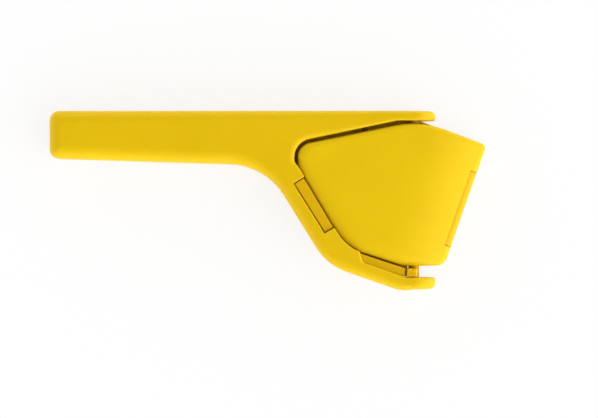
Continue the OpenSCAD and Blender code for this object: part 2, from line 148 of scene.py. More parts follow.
class SqueezerSizes(bpy.types.PropertyGroup):
    """Sizes of the mouldings that can be changed by themselves."""
    wall: length("Wall", "Thickness of the mouldings", 0.0024)
    grip_edge_width: length("Grip edge width", "Width of the round-over along the grip", 0.0072)
    grip_edge_depth: length("Grip edge depth", "Depth of the round-over along the grip", 0.0064)
    head_edge_width: length("Head edge width", "Width of the round-over of the head", 0.0062)
    head_edge_depth: length("Head edge depth", "Depth of the round-over of the head", 0.0056)
    rim_width: length("Rim width", "Width of the rim beside the catch notch", 0.008)
    notch_start: length("Notch start", "Distance of the catch notch from the neck bend", 0.0167)
    notch_length: length("Notch length", "Length of the catch notch", 0.0324)
    seam_width: length("Seam width", "Width of the plate's soft lower left edge", 0.0095)
    seam_depth: length("Seam depth", "Depth of the plate's soft lower left edge", 0.0046)
    plate_bend: length("Plate bend", "Radius of the plate's bend towards the far edge", 0.065)
    ear_radius: length("Ear radius", "Radius of the ear discs", 0.012)
    rib_count: IntProperty(name="Ribs", description="Number of pressing ribs", default=8, min=2, max=12)


class SqueezerColours(bpy.types.PropertyGroup):
    """Colours of the mouldings and the metal."""
    handle: tint("Front handle", "Nylon of the front handle", (226, 187, 2))
    # The press plate's nylon is the handle's nylon made a little lighter, which paints in the brighter
    # light on the plate.
    plate: tint("Press plate", "Nylon of the press plate", (230, 193, 4))
    back: tint("Back handle", "Nylon of the back handle", (224, 180, 0))
    strainer: tint("Strainer", "Nylon of the strainer", (234, 200, 24))
    steel: tint("Steel", "Ground steel of the hinge pins", (196, 196, 193))
    black: tint("Blackened steel", "Blackened steel of the drive pin", (104, 80, 44))


class SqueezerFinish(bpy.types.PropertyGroup):
    """Grain, sheen, edge wear and painted edge highlight of the surfaces."""
    grain_size: length("Grain size", "Size of the moulded grain", 0.0006)
    grain_depth: length("Grain depth", "Depth of the moulded grain", 0.0001)
    flow_size: length("Flow size", "Size of the slow change of tint in the nylon", 0.045)
    # The edge band is painted paler as a highlight and made rougher as wear.
    edge_size: length("Edge size", "Width of the worn band along edges", 0.0007)
    roughness: share("Roughness", "Middle roughness of the nylon", 0.34)
    # How far the edges are painted paler, as a highlight.
    wear_and_highlight: share("Wear", "How much the worn edges pale", 0.3)


class SqueezerStudio(bpy.types.PropertyGroup):
    """Light, floor and camera of the stage."""
    floor_tone: share("Floor tone", "Lightness of the floor", 0.97)
    floor_white: share("Floor white", "How much of the floor shows as plain white", 0.8)
    zenith: share("Zenith", "Light from straight above", 0.33, 10)
    horizon: share("Horizon", "Light from low down all round", 3.7, 20)
    side: share("Side", "More light from beyond the far edge", 2.2, 10)
    distance: length("Distance", "Height of the camera above the tool's middle", 1.5)
    field: length("Field", "Width that the camera sees at the tool's middle", 0.3299)


def far_edge(y):
    """Point of the far edge at height y: the far corner moved down along the slant."""
    return CORNER[0] - (CORNER[1] - y) * FAR_U[0] / FAR_U[1]


def plate_top(x):
    """Height of the plate's upper edge at x: a straight line that rises to the far end."""
    return EAR_IN - 3.3 + PLATE_SLOPE * (x - HINGE_X + 14.2)


def beside(along, inward):
    """Point at a distance along the slanted side from the neck, and a distance in from it."""
    return NECK + SIDE * along + SIDE_IN * inward


def slanted(s0, s1, t0, t1):
    """Rectangle square to the far edge: s out of the edge and t along it, from the plate's axis."""
    return [tuple(AXIS_MID + FAR_N * s + FAR_U * t) for s, t in ((s0, t0), (s1, t0), (s1, t1), (s0, t1))]


# ---------------------------------------------------------------- outlines and mouldings

def unit_rows(v):
    """Each row divided by its own length."""
    return v / np.linalg.norm(v, axis=1)[:, None]


def corner_turns(p):
    """Directions into and out of each corner of a closed outline, and the signed angle between them."""
    u = unit_rows(p - np.roll(p, 1, 0))
    v = unit_rows(np.roll(p, -1, 0) - p)
    bend = np.arctan2(u[:, 0] * v[:, 1] - u[:, 1] * v[:, 0], (u * v).sum(1))
    return u, v, bend


def moved_corners(p, depth):
    """Corners of a closed outline moved inwards, and the signed turn at each of them.

    A corner moves along the sum of its two outward normals, divided by one plus their dot product.
    """
    u, v, bend = corner_turns(p)
    nu = np.stack([u[:, 1], -u[:, 0]], 1)
    nv = np.stack([v[:, 1], -v[:, 0]], 1)
    return p - (nu + nv) * (depth / (1 + (nu * nv).sum(1)))[:, None], bend


def inset_loop(p, radius, depth):
    """Closed outline moved inwards by its corners' own depths, with rounded corners.

    A corner's radius shrinks by the depth where the outline is convex and grows where it is hollow,
    and is cut down where two neighbouring arcs don't fit on the side between them.
    Each corner gives one point more than ARC_STEPS and each side LINE_STEPS points,
    so that loops match row by row.
    """
    q, bend = moved_corners(p, depth)
    r = np.maximum(radius - np.sign(bend) * depth, 0.25)
    u, _, turn = corner_turns(q)
    side = np.linalg.norm(np.roll(q, -1, 0) - q, axis=1)
    reach = r * np.tan(np.abs(turn) / 2)
    fits = 0.98 * side / np.maximum(reach + np.roll(reach, -1), 1e-6)
    reach = reach * np.minimum(1, np.minimum(fits, np.roll(fits, 1)))
    r = reach / np.maximum(np.tan(np.abs(turn) / 2), 1e-6)
    nu = np.stack([u[:, 1], -u[:, 0]], 1) * np.sign(turn)[:, None]
    centre = q - u * reach[:, None] - nu * r[:, None]
    w = turn[:, None] * np.linspace(0, 1, ARC_STEPS + 1)
    c, s = np.cos(w), np.sin(w)
    spin = np.stack([nu[:, :1] * c - nu[:, 1:] * s, nu[:, :1] * s + nu[:, 1:] * c], 2)
    arcs = centre[:, None] + r[:, None, None] * spin
    t = (np.arange(LINE_STEPS) + 1) / (LINE_STEPS + 1)
    start, end = arcs[:, -1], np.roll(arcs[:, 0], -1, 0)
    lines = start[:, None] + (end - start)[:, None] * t[None, :, None]
    return np.concatenate([arcs, lines], 1).reshape(-1, 2)


def spread(values):
    """One value for each corner, held round its arc and blended evenly along each side."""
    t = (np.arange(LINE_STEPS) + 1) / (LINE_STEPS + 1)
    held = np.repeat(values[:, None], ARC_STEPS + 1, 1)
    blended = values[:, None] * (1 - t) + np.roll(values, -1)[:, None] * t
    return np.concatenate([held, blended], 1).reshape(-1)


def inside(loop, pts):
    """Whether each point lies in a closed loop.

    It does where a ray to the right crosses the loop an odd number of times.
    """
    a, b = loop[None], np.roll(loop, -1, 0)[None]
    x, y = pts[:, None, 0], pts[:, None, 1]
    span = (a[..., 1] > y) != (b[..., 1] > y)
    dy = np.where(b[..., 1] == a[..., 1], 1.0, b[..., 1] - a[..., 1])
    cut = a[..., 0] + (y - a[..., 1]) / dy * (b[..., 0] - a[..., 0])
    return (span & (x < cut)).sum(1) % 2 == 1


def edge_distance(loop, pts):
    """Distance from each point to the nearest corner of a loop."""
    return np.linalg.norm(pts[:, None] - loop[None], axis=2).min(1)


def bowed(loop, rise=0.02):
    """The loop with each straight side bowed outwards by a parabola, so no three points are in line."""
    rows = loop.reshape(-1, ARC_STEPS + 1 + LINE_STEPS, 2).copy()
    start, end = rows[:, ARC_STEPS], np.roll(rows[:, 0], -1, 0)
    run = end - start
    out = np.stack([run[:, 1], -run[:, 0]], 1) / np.maximum(np.linalg.norm(run, axis=1), 1e-6)[:, None]
    t = (np.arange(LINE_STEPS) + 1) / (LINE_STEPS + 1)
    rows[:, ARC_STEPS + 1:] += out[:, None] * (4 * rise * t * (1 - t))[None, :, None]
    return rows.reshape(-1, 2)


def fill(loop, pitch):
    """Triangles between a loop and an even grid of points inside it."""
    outline = bowed(loop)
    lo, hi = loop.min(0), loop.max(0)
    gx, gy = np.meshgrid(np.arange(lo[0], hi[0], pitch), np.arange(lo[1], hi[1], pitch))
    grid = np.stack([gx.ravel(), gy.ravel()], 1)
    grid = grid[inside(loop, grid) & (edge_distance(loop, grid) > pitch * 0.4)]
    around_loop = np.arange(len(loop))
    edges = np.stack([around_loop, np.roll(around_loop, -1)], 1)
    flat = [Vector(p) for p in np.concatenate([outline, grid])]
    out = delaunay_2d_cdt(flat, edges.tolist(), [], 0, 1e-7, True)
    places = np.concatenate([loop, grid])[[owners[0] for owners in out[3]]]
    tris = np.array(out[2])
    bow = np.array([(v.x, v.y) for v in out[0]])
    return places, tris[inside(outline, bow[tris].mean(1))]


def grid_faces(rows, n):
    """Quads between neighbouring rings of n points each."""
    i, j = np.meshgrid(np.arange(n), np.arange(rows - 1))
    a = j * n + i
    b = j * n + (i + 1) % n
    return np.stack([a, b, b + n, a + n], 2).reshape(-1, 4)


def signed_volume(verts, faces):
    """Sum over the faces, fanned from their first corner, of the triple product of each triangle."""
    total = 0.0
    for size in {len(face) for face in faces}:
        f = np.array([face for face in faces if len(face) == size], int).reshape(-1, size)
        for k in range(1, size - 1):
            a, b, c = verts[f[:, 0]], verts[f[:, k]], verts[f[:, k + 1]]
            total += (a * np.cross(b, c)).sum()
    return total


class Skin:
    """Collects points in millimetres and faces, and makes one closed mesh of them."""

    def __init__(self):
        self.verts = []
        self.faces = []
        self.count = 0

    def add(self, verts, faces, flip=False):
        """Adds an array of points and an array of faces that index it."""
        faces = np.asarray(faces) + self.count
        self.verts.append(np.asarray(verts, float))
        self.faces += faces[:, ::-1].tolist() if flip else faces.tolist()
        self.count += len(verts)

    def rings(self, loops):
        """Joins a stack of equal rings, each anticlockwise as seen from the stack's end."""
        self.add(np.concatenate(loops), grid_faces(len(loops), len(loops[0])))

    def cap(self, loop, height, up=True, pitch=4.0):
        """Fills a loop with one level face, or with a surface whose height is a function of x and y."""
        if height is None:
            self.add(loop, [range(len(loop))], flip=not up)
            return
        pts, tris = fill(loop[:, :2], pitch)
        a, b = pts[tris[:, 1]] - pts[tris[:, 0]], pts[tris[:, 2]] - pts[tris[:, 0]]
        turn = a[:, 0] * b[:, 1] - a[:, 1] * b[:, 0]
        tris = np.where((turn < 0)[:, None], tris[:, ::-1], tris)
        self.add(np.column_stack([pts, height(pts[:, 0], pts[:, 1])]), tris, flip=not up)

    def build(self, name, mirror=False):
        """Welds what meets and returns the object, in metres, with its faces outwards.

        A mirrored one is turned over about the middle of the tool's thickness.
        """
        verts = np.concatenate(self.verts)
        if mirror:
            verts[:, 2] = THICK - verts[:, 2]
        faces = self.faces
        if signed_volume(verts, faces) < 0:
            faces = [face[::-1] for face in faces]
        mesh = bpy.data.meshes.new(name)
        mesh.from_pydata((verts * 0.001).tolist(), [], faces)
        obj = bpy.data.objects.new(name, mesh)
        bpy.context.scene.collection.objects.link(obj)
        weld_points(mesh, 1e-6)
        return obj


def weld_points(mesh, distance):
    """Merges points that lie within a distance of each other."""
    bm = bmesh.new()
    bm.from_mesh(mesh)
    bmesh.ops.remove_doubles(bm, verts=bm.verts, dist=distance)
    bm.to_mesh(mesh)
    bm.free()


def drop(obj):
    """Removes a working object and its mesh."""
    mesh = obj.data
    bpy.data.objects.remove(obj)
    bpy.data.meshes.remove(mesh)


def combine(obj, tools, mode="DIFFERENCE"):
    """Cuts, joins or trims a piece by working objects, which it then removes."""
    for tool in tools:
        step = obj.modifiers.new("work", "BOOLEAN")
        step.operation = mode
        step.object = tool
        step.solver = "EXACT"
        graph = bpy.context.evaluated_depsgraph_get()
        mesh = bpy.data.meshes.new_from_object(obj.evaluated_get(graph))
        obj.modifiers.clear()
        old = obj.data
        obj.data = mesh
        bpy.data.meshes.remove(old)
        drop(tool)
    return obj


def smooth_piece(obj, sharp=32):
    """Welds a piece, smooths it between its sharp edges and evens its shading."""
    mesh = obj.data
    weld_points(mesh, 3e-6)
    mesh.shade_smooth()
    mesh.set_sharp_from_angle(angle=math.radians(sharp))
    shade = obj.modifiers.new("even_shading", "WEIGHTED_NORMAL")
    shade.keep_sharp = True
    shade.weight = 80
    mesh.name = obj.name


def join(obj, others):
    """Adds working objects' meshes to a piece as they are."""
    bm = bmesh.new()
    bm.from_mesh(obj.data)
    for other in others:
        bm.from_mesh(other.data)
    bm.to_mesh(obj.data)
    bm.free()
    for other in others:
        drop(other)
    return obj


def solid(name, rows, top, base, mirror=False, steps=10, pitch=4.0):
    """Closed block over an outline. Each row is x, y, corner radius, edge width, edge depth.

    Its side rises from base and turns over a quarter ellipse as wide and deep as the row says,
    and ends at a level top, or in a surface whose height is top(x, y).
    """
    rows = np.asarray(rows, float)
    xy, radius, wide, deep = rows[:, :2], rows[:, 2], rows[:, 3], spread(rows[:, 4])
    height = top if callable(top) else None
    loops = []
    for a in np.linspace(0, math.pi / 2, steps):
        p = inset_loop(xy, radius, wide * (1 - math.cos(a)))
        level = height(p[:, 0], p[:, 1]) if height else np.full(len(p), float(top))
        loops.append(np.column_stack([p, level - deep * (1 - math.sin(a))]))
    foot = loops[0].copy()
    foot[:, 2] = base
    skin = Skin()
    skin.rings([foot] + loops)
    skin.cap(loops[-1], height, pitch=pitch)
    skin.cap(foot, None, up=False)
    return skin.build(name, mirror)


def bar(name, corners, z0, z1, soft=0.4, mirror=False):
    """Upright bar over a convex outline of corners, with its upper edges softened."""
    rows = [(*c, max(soft, 0.3), soft, soft) for c in corners]
    return solid(name, rows, z1, z0, mirror, steps=4)


def around(x0, x1, y0, y1):
    """Corners of an upright rectangle, anticlockwise."""
    return [(x0, y0), (x1, y0), (x1, y1), (x0, y1)]


def moved(rows, depth):
    """Rows moved inwards by a depth, with their radii and edges made to match."""
    rows = np.asarray(rows, float)
    q, bend = moved_corners(rows[:, :2], depth)
    r = np.maximum(rows[:, 2] - np.sign(bend) * depth, 0.4)
    edges = np.maximum(rows[:, 3:5] - depth, 0.5)
    return np.column_stack([q, r, edges])


def turned(name, centre, along, profile, count=72):
    """Closed round piece: a profile of distance and radius turned about a line.

    Each ring is a circle square to the line. The first and last radius are nought,
    or the profile ends where it starts.
    """
    along = np.asarray(along, float) / np.linalg.norm(along)
    up = np.array([0.0, 0.0, 1.0])
    across = np.cross(up, along)
    w = np.linspace(0, 2 * math.pi, count, endpoint=False)
    circle = across * np.cos(w)[:, None] + up * np.sin(w)[:, None]
    centre = np.asarray(centre, float)
    skin = Skin()
    skin.rings([centre + along * s + circle * r for s, r in profile])
    return skin.build(name)


def round_bar(radius, start, end, soft0, soft1, steps=7):
    """Profile of a solid round bar whose two rims turn over quarter rounds."""
    a = np.linspace(0, math.pi / 2, steps)
    first = zip(start + soft0 * (1 - np.sin(a[::-1])), radius - soft0 + soft0 * np.cos(a[::-1]))
    last = zip(end - soft1 * (1 - np.sin(a)), radius - soft1 + soft1 * np.cos(a))
    return [(start, 0.0)] + list(first) + list(last) + [(end, 0.0)]


def pin_line(name, centre, along, radius, start, end, soft=0.0, count=72):
    """Round bar along a line, with softened rims or with square ones."""
    soft = max(soft, 0.01)
    return turned(name, centre, along, round_bar(radius, start, end, soft, soft, 4), count)


# ---------------------------------------------------------------- outlines

def lap_line():
    """Ends of the rim's inner edge, which laps a little over the plate's seam."""
    run = (SEAM_LOW - SEAM_TOP) / np.linalg.norm(SEAM_LOW - SEAM_TOP)
    lap = np.array([-run[1], run[0]]) * 0.2
    return SEAM_TOP + lap, SEAM_LOW + lap


def front_rows(sizes):
    """Front handle: grip, chin, lower ear, notch and window round the plate, upper ear."""
    upper, lower = lap_line()
    grip = mm(sizes.grip_edge_width), mm(sizes.grip_edge_depth)
    head = mm(sizes.head_edge_width), mm(sizes.head_edge_depth)
    rim, start = mm(sizes.rim_width), mm(sizes.notch_start)
    end = start + mm(sizes.notch_length)
    marks = ((np.array([upper, lower]) - NECK) @ SIDE)
    opens, closes = (upper + (lower - upper) * (a - marks[0]) / (marks[1] - marks[0]) for a in (start, end))
    left = SEAM_TOP[0] - 1.8
    way = (lower - upper) / np.linalg.norm(lower - upper)
    run = (PLATE_TIP - SEAM_LOW) / np.linalg.norm(PLATE_TIP - SEAM_LOW)
    return [
        (LEFT, TOP - 26.2, 5.4, *grip),
        (*NECK, 36, *grip),
        (*CHIN, 32, *head),
        (HINGE_X - 6.8, LOW - 0.48, 20, 5.2, 5.0),
        (HINGE_X, LOW + 0.55, 0.3, 3.4, 3.4),
        (HINGE_X, LIP_IN, 0.3, 1.6, 1.6),
        (HINGE_X - 4.4, LIP_IN, 2, 1.6, 1.6),
        (SEAM_LOW[0] + 9.4, LIP_IN + 8.4, 3, 1.6, 1.3),
        (*(lower + run * 8), 1.6, 1.1, 0.9),
        (*(lower + run * 4.6), 22, 0.9, 0.7),
        (*(lower - way * 4.6), 24, 0.9, 0.7),
        (*closes, 0.5, 0.5, 0.5),
        (*beside(end, rim), 0.5, 0.4, 0.4),
        (*beside(start, rim), 0.5, 0.4, 0.4),
        (*opens, 0.5, 0.5, 0.5),
        (*upper, 3, 2.0, 1.4),
        (left, SEAM_TOP[1] + 2.4, 3, 3.6, 2.0),
        (left, plate_top(left) + 2, 10, 3.6, 2.0),
        (HINGE_X - 9.3, EAR_IN, 15, 1.5, 1.4),
        (HINGE_X, EAR_IN, 0.3, 1.2, 1.2),
        (HINGE_X, TOP - 0.1, 0.3, 3.0, 3.0),
        (HINGE_X - 4.4, TOP, 60, 3.3, 3.2),
        (LEFT, TOP, 5.4, *grip),
    ]


def back_rows(sizes):
    """Back handle: the same grip and chin, cut short of the ears, with the plate's far half."""
    grip = mm(sizes.grip_edge_width), mm(sizes.grip_edge_depth)
    head = mm(sizes.head_edge_width), mm(sizes.head_edge_depth)
    return [
        (LEFT, TOP - 26.2, 5.4, *grip),
        (*NECK, 36, *grip),
        (*CHIN, 32, *head),
        (CUT_X, LOW + 1.6, 1.5, 2.0, 2.0),
        (CUT_X, LIP_IN + 0.4, 1, 1, 1),
        (SPOUT_X, LIP_IN + 0.4, 1, 1, 1),
        (SPOUT_X, LIP_IN + 6.4, 1, 1, 1),
        (far_edge(LIP_IN + 6.5), LIP_IN + 6.5, 6, 3, 3),
        (*CORNER, 2.8, 2.6, 2.6),
        (HINGE_X + 3.6, EAR_IN - 0.1, 4, 3, 3),
        (CUT_X, EAR_IN - 0.1, 0.5, 0.5, 0.5),
        (CUT_X, TOP, 1.5, 1.5, 1.5),
        (LEFT, TOP, 5.4, *grip),
    ]


def plate_rows(sizes):
    """Press plate: soft lower left edge, crisp far edge."""
    wide, deep = mm(sizes.seam_width), mm(sizes.seam_depth)
    return [
        (*SEAM_TOP, 8.4, wide, deep),
        (*SEAM_LOW, 25, wide + 2.0, deep + 0.2),
        (*PLATE_TIP, 12, 7, 5.5),
        (far_edge(LIP_IN + 6.5), LIP_IN + 6.5, 6, 2.5, 2.2),
        (*CORNER, 2.8, 2, 1.8),
        (HINGE_X + 2.9, EAR_IN + 0.2, 50, 3, 3),
        (SEAM_TOP[0], plate_top(SEAM_TOP[0]), 8, 3, 3),
    ]


def channel_corners():
    """Juice channel beside the tray, from the rim's lower corner to the spout."""
    return [(SEAM_LOW[0] + 2.9, LIP_IN + 18), (SEAM_LOW[0] + 8.9, LIP_IN + 8.6),
            (SPOUT_X + 1, LIP_IN + 2.8), (SPOUT_X + 1, LIP_IN + 15)]


# ---------------------------------------------------------------- front handle

def ear(sizes, y0, y1, soft0, soft1):
    """Ear disc with rounded rims."""
    profile = round_bar(mm(sizes.ear_radius), y0, y1, soft0, soft1)
    return turned("ear", HINGE_POINT, Y_AXIS, profile, 128)


def build_front_handle(sizes):
    """Rounded block over the front outline, hollowed from behind, with rib, webs and ears."""
    wall = mm(sizes.wall)
    skin = THICK - wall
    obj = solid("front_shell", front_rows(sizes), THICK, RIM)
    hollow = solid("hollow", moved(back_rows(sizes), wall), skin, 0)
    room = bar("room", around(CUT_X - 2.6, SPOUT_X, LIP_IN + 0.2, LIP_IN + 2.9), 0, LIP_Z + 0.4, CLEAR)
    combine(obj, [hollow, room])
    blocks = [around(SLOT_X[0] - 3, SLOT_X[1] + 3, EAR_IN - 2, EAR_IN + 0.8),
              around(CUT_X - 4, HINGE_X - 6, EAR_IN, TOP - wall + 0.2),
              around(CUT_X - 1, HINGE_X - 6, LOW + wall, LIP_IN + 0.2)]
    rib, upper_web, lower_web = (bar("web", corners, RIM, skin + 0.3, CLEAR) for corners in blocks)
    slot = around(*SLOT_X, EAR_IN - 4, EAR_IN + 3)
    combine(rib, [bar("slot", slot, *SLOT_Z, CLEAR)])
    upper_ear = ear(sizes, EAR_IN, TOP - 0.1, 1.2, 3.0)
    lower_ear = ear(sizes, LOW + 0.55, LIP_IN, 3.4, 1.6)
    combine(obj, [upper_ear, lower_ear], "UNION")
    spans = (EAR_IN - 1, EAR_IN + PIN_BITE), (LIP_IN - PIN_BITE, LIP_IN + 1)
    bores = [pin_line("bore", HINGE_POINT, Y_AXIS, PIN_BORE_R, *span, count=50) for span in spans]
    combine(obj, bores)
    return join(obj, [rib, upper_web, lower_web])


# ---------------------------------------------------------------- press plate

def plate_height(sizes, depth=0.0):
    """Height of the plate's front, or of a surface a depth behind it.

    Level, then an arc down towards the slanted far edge: the square root of the radius squared
    less the squared distance past the bend's start, measured square to the far edge.
    """
    bend = mm(sizes.plate_bend)
    start = 4 - bend / 2
    radius = bend - depth

    def height(x, y):
        s = (x - AXIS_MID[0]) * FAR_N[0] + (y - AXIS_MID[1]) * FAR_N[1] - start
        return THICK - bend + np.sqrt(radius ** 2 - np.clip(s, 0, 0.9 * radius) ** 2)
    return height


def build_press_plate(sizes):
    """Rounded block with a bent front, hollowed from behind, with ribs, boss and knuckles."""
    wall = mm(sizes.wall)
    under = plate_height(sizes, wall)
    rows = plate_rows(sizes)
    obj = solid("press_shell", rows, plate_height(sizes), RIM, pitch=3.0)
    spaces = [solid("hollow", moved(rows, depth), under, 0) for depth in (wall, 5)]
    for space in spaces:
        combine(space, [bar("beyond", slanted(-BARREL_R - wall, 60, -90, 90), -5, 40, CLEAR)])
    hollow, field = spaces
    places = np.linspace(LIP_IN + 12, EAR_IN - 8, sizes.rib_count)
    combs = [bar("comb", around(0, 110, y - wall / 2, y + wall / 2), MID + 3, 40, CLEAR) for y in places]
    ribs = combine(join(combs[0], combs[1:]), [field], "INTERSECT")
    combine(obj, [hollow])
    near, far = BARREL_ENDS[0] - KNUCKLE_GAP, BARREL_ENDS[1] + KNUCKLE_GAP
    knuckles = [pin_line("knuckle", PLATE_MID, PLATE_AXIS, BARREL_R, *span, 0.4)
                for span in ((KNUCKLE_ENDS[0], near), (far, KNUCKLE_ENDS[1]))]
    edge = plate_top(DRIVE_X)
    boss = pin_line("boss", (DRIVE_X, 0, DRIVE_Z), Y_AXIS, 3.3, edge - 6, edge - 0.5)
    relief = pin_line("relief", PLATE_MID, PLATE_AXIS, BARREL_R + 0.3, near, far)
    crown = bar("crown", slanted(0.6, 12, near - 0.05, far + 0.05), 0, THICK + 1, CLEAR)
    spans = (LIP_IN, LIP_IN + LOWER_POST + 0.7), (EAR_IN - UPPER_POST - 1.2, EAR_IN)
    rooms = [around(HINGE_X - POST_ROOM, HINGE_X + POST_ROOM, *span) for span in spans]
    combine(obj, [relief, crown] + [bar("post", room, 0, MID + POST_ROOM, CLEAR) for room in rooms])
    return join(obj, [ribs, boss] + knuckles)


# ---------------------------------------------------------------- back handle

def lip_corners():
    """Lip over the channel, between the front handle's rim and the plate's lower edge."""
    run = (PLATE_TIP - SEAM_LOW) / np.linalg.norm(PLATE_TIP - SEAM_LOW)
    out = np.array([run[1], -run[0]]) * 0.8
    start = SEAM_LOW + out + run * 5
    end = PLATE_TIP + out + run * 1.2
    return [tuple(start), (SEAM_LOW[0] + 8.2, LIP_IN + 6.7), (CUT_X - 1.1, LIP_IN + 1.2),
            (end[0], LIP_IN + 0.4), tuple(end)]


def tray(sizes, depth, floor):
    """Space over the strainer's ledge or in the sump, short of the plate's hinge block."""
    rows = moved(plate_rows(sizes), depth)
    rows[:, 3:5] = 0.8
    block = slanted(-BARREL_R - 2.5 - depth + mm(sizes.wall), 60, -90, 90)
    return combine(solid("tray", rows, floor, 0, mirror=True), [bar("block", block, -5, 40, CLEAR)])


def build_back_handle(sizes):
    """Rounded block over the back outline, turned over, with tray, channel, posts, barrel and tongue."""
    wall = mm(sizes.wall)
    floor = THICK - wall
    rows = back_rows(sizes)
    obj = solid("back_shell", rows, THICK, RIM, mirror=True)
    inner = moved(rows, wall)
    end_x, end_along = 11.5, 21.0           # where the grip's hollow ends, before the head
    near_end = (end_x, beside(end_along, wall)[1], 1.5, 3, 3)
    far_end = (end_x, TOP - wall, 2, 3, 3)
    grip = [inner[0], inner[1], near_end, far_end, inner[-1]]
    tools = [solid("grip_hollow", grip, floor, 0, mirror=True),
             tray(sizes, wall - STRAINER_ROOM, THICK - LEDGE_Z), tray(sizes, wall + 2, floor),
             bar("channel", channel_corners(), 0, floor, 0.9, mirror=True)]
    tools += [pin_line("groove", PLATE_MID, PLATE_AXIS, BARREL_R + 0.4, *span)
              for span in ((-60, BARREL_ENDS[0]), (BARREL_ENDS[1], 60))]
    combine(obj, tools)
    barrel = pin_line("barrel", PLATE_MID, PLATE_AXIS, BARREL_R, *BARREL_ENDS, 0.3)
    spans = (LIP_IN + POST_GAP, LIP_IN + LOWER_POST), (EAR_IN - UPPER_POST, EAR_IN - POST_GAP)
    posts = [pin_line("post", HINGE_POINT, Y_AXIS, POST_R, *span, 0.3, 48) for span in spans]
    feet = [bar("foot", around(HINGE_X - POST_R, HINGE_X + POST_R, y, y + wall), wall - 0.5, MID, CLEAR)
            for y in (LIP_IN + LOWER_POST - wall, EAR_IN - UPPER_POST)]
    start = mm(sizes.notch_start) + 0.5
    end = start + mm(sizes.notch_length) - 1
    near = mm(sizes.rim_width) + 0.5
    corners = [beside(start, near), beside(end, near), beside(end, near + 5.3), beside(start, near + 5.9)]
    tongue = bar("tongue", corners, wall, THICK - 1.5, 0.5)
    head_rows = around(HINGE_X - 4.4, HINGE_X + 1.6, LIP_IN + POST_GAP, LIP_IN + 5.2)
    head_edges = (0.9, 0.9, 0.9), (0.9, 0.9, 0.9), (0.9, 1.1, 6), (0.9, 1.1, 6)
    head_rows = [corner + edge for corner, edge in zip(head_rows, head_edges)]
    head = solid("post_head", head_rows, THICK - 1.2, MID)
    lip = bar("lip", lip_corners(), MID - SPLIT - 1, LIP_Z, 0.6)
    combine(lip, [bar("under_lip", channel_corners(), -1, LIP_Z - wall, CLEAR)])
    return join(obj, [barrel, tongue, lip] + posts + feet + [head])


# ---------------------------------------------------------------- materials

def add_node(tree, kind, settings=(), feeds=()):
    """Adds a node with its settings, and feeds its inputs with sockets or with values."""
    node = tree.nodes.new("ShaderNode" + kind)
    for key, value in dict(settings).items():
        setattr(node, key, value)
    for key, value in dict(feeds).items():
        if isinstance(value, bpy.types.NodeSocket):
            tree.links.new(value, node.inputs[key])
        else:
            node.inputs[key].default_value = value
    return node


def new_group(name, takes, gives):
    """Empty node group with named number inputs and outputs, and its two end nodes."""
    tree = bpy.data.node_groups.new(name, "ShaderNodeTree")
    for label, value in takes:
        socket = tree.interface.new_socket(label, in_out="INPUT", socket_type="NodeSocketFloat")
        socket.default_value = value
    for label in gives:
        tree.interface.new_socket(label, in_out="OUTPUT", socket_type="NodeSocketFloat")
    return tree, tree.nodes.new("NodeGroupInput").outputs, tree.nodes.new("NodeGroupOutput").inputs


def grain_group():
    """Moulded grain: fine noise for height, and slow noise for the tint and sheen of the flow."""
    sockets = ("Grain Scale", 1600), ("Flow Scale", 22)
    tree, takes, gives = new_group("moulded_grain", sockets, ("Height", "Flow"))
    place = add_node(tree, "TexCoord").outputs["Object"]
    fine = add_node(tree, "TexNoise",
                    feeds={"Vector": place, "Scale": takes[0], "Detail": 3, "Roughness": 0.6})
    slow = add_node(tree, "TexNoise",
                    feeds={"Vector": place, "Scale": takes[1], "Detail": 2, "Distortion": 0.6})
    even = add_node(tree, "MapRange",
                    feeds={"Value": slow.outputs["Fac"], "From Min": 0.3, "From Max": 0.7})
    tree.links.new(fine.outputs["Fac"], gives[0])
    tree.links.new(even.outputs["Result"], gives[1])
    return tree


def wear_and_highlight_group():
    """Edge mask for wear and a painted highlight: where a rounded normal leaves the true one, broken up by
    noise.
    """
    sockets = ("Edge Size", 0.0007), ("Patch Scale", 260)
    tree, takes, gives = new_group("edge_wear", sockets, ("Wear",))
    place = add_node(tree, "TexCoord").outputs["Object"]
    soft = add_node(tree, "Bevel", {"samples": 4}, {"Radius": takes[0]})
    true = add_node(tree, "NewGeometry").outputs["Normal"]
    same = add_node(tree, "VectorMath", {"operation": "DOT_PRODUCT"}, {0: soft.outputs[0], 1: true})
    edge = add_node(tree, "MapRange",
                    feeds={"Value": same.outputs["Value"], "From Min": 0.995, "From Max": 0.93})
    noise = add_node(tree, "TexNoise", feeds={"Vector": place, "Scale": takes[1], "Detail": 4})
    patch = add_node(tree, "MapRange",
                     feeds={"Value": noise.outputs["Fac"], "From Min": 0.35, "From Max": 0.62})
    both = add_node(tree, "Math", {"operation": "MULTIPLY"}, {0: edge.outputs[0], 1: patch.outputs[0]})
    tree.links.new(both.outputs[0], gives[0])
    return tree


def ground_group():
    """Ground metal: noise that runs in fine rings across the given line."""
    sockets = ("Turn", 0.0), ("Ring Scale", 9000)
    tree, takes, gives = new_group("ground_rings", sockets, ("Height", "Streak"))
    place = add_node(tree, "TexCoord").outputs["Object"]
    angle = add_node(tree, "CombineXYZ", feeds={"Z": takes[0]})
    line = add_node(tree, "Mapping",
                    feeds={"Vector": place, "Rotation": angle.outputs[0], "Scale": (0.02, 1, 0.02)})
    rings = add_node(tree, "TexNoise",
                     feeds={"Vector": line.outputs[0], "Scale": takes[1], "Detail": 2})
    streak = add_node(tree, "TexNoise", feeds={"Vector": place, "Scale": 700, "Detail": 3})
    tree.links.new(rings.outputs["Fac"], gives[0])
    tree.links.new(streak.outputs["Fac"], gives[1])
    return tree


def shared_group(name, make):
    """The node group of that name, made the first time it is asked for."""
    return bpy.data.node_groups.get(name) or make()


